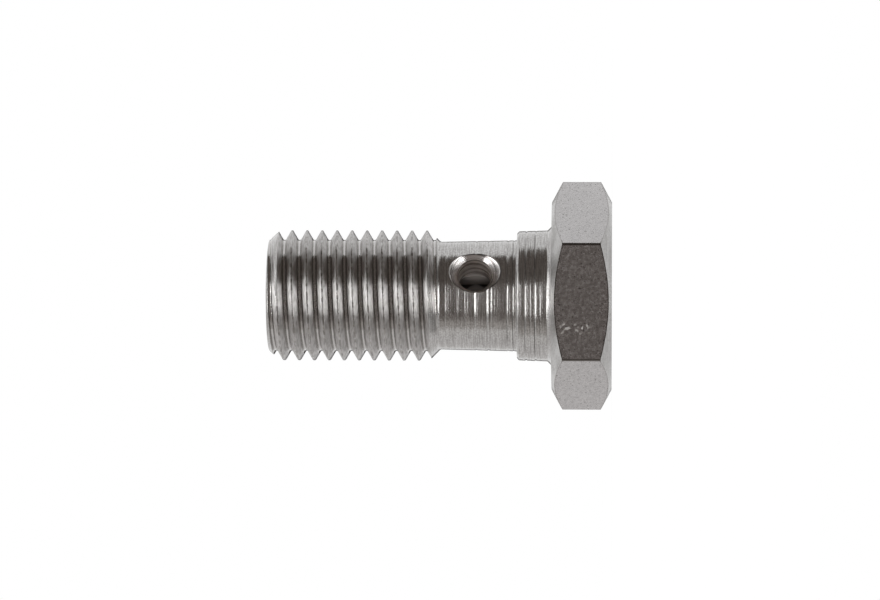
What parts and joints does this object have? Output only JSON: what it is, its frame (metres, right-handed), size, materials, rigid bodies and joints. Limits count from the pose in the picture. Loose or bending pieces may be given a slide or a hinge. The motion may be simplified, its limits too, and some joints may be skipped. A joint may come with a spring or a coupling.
{
  "type": "banjo bolt",
  "caption": "Hollow hexagon bolt with a right-hand thread, a plain neck cross-drilled and countersunk, and a collar under the head, to hold and feed a ring fitting.",
  "frame": {"origin": "centre of the head's outer face, on which the bolt stands", "axes": "+Z along the bolt's axis, from the head to the end of the thread; +X along the cross hole, through a corner of the hexagon"},
  "size_m": [0.016, 0.014, 0.0242],
  "materials": {
    "plated_steel": "satin"
  },
  "bodies": {
    "root": {"banjo_bolt": "plated_steel"}
  },
  "joints": []
}
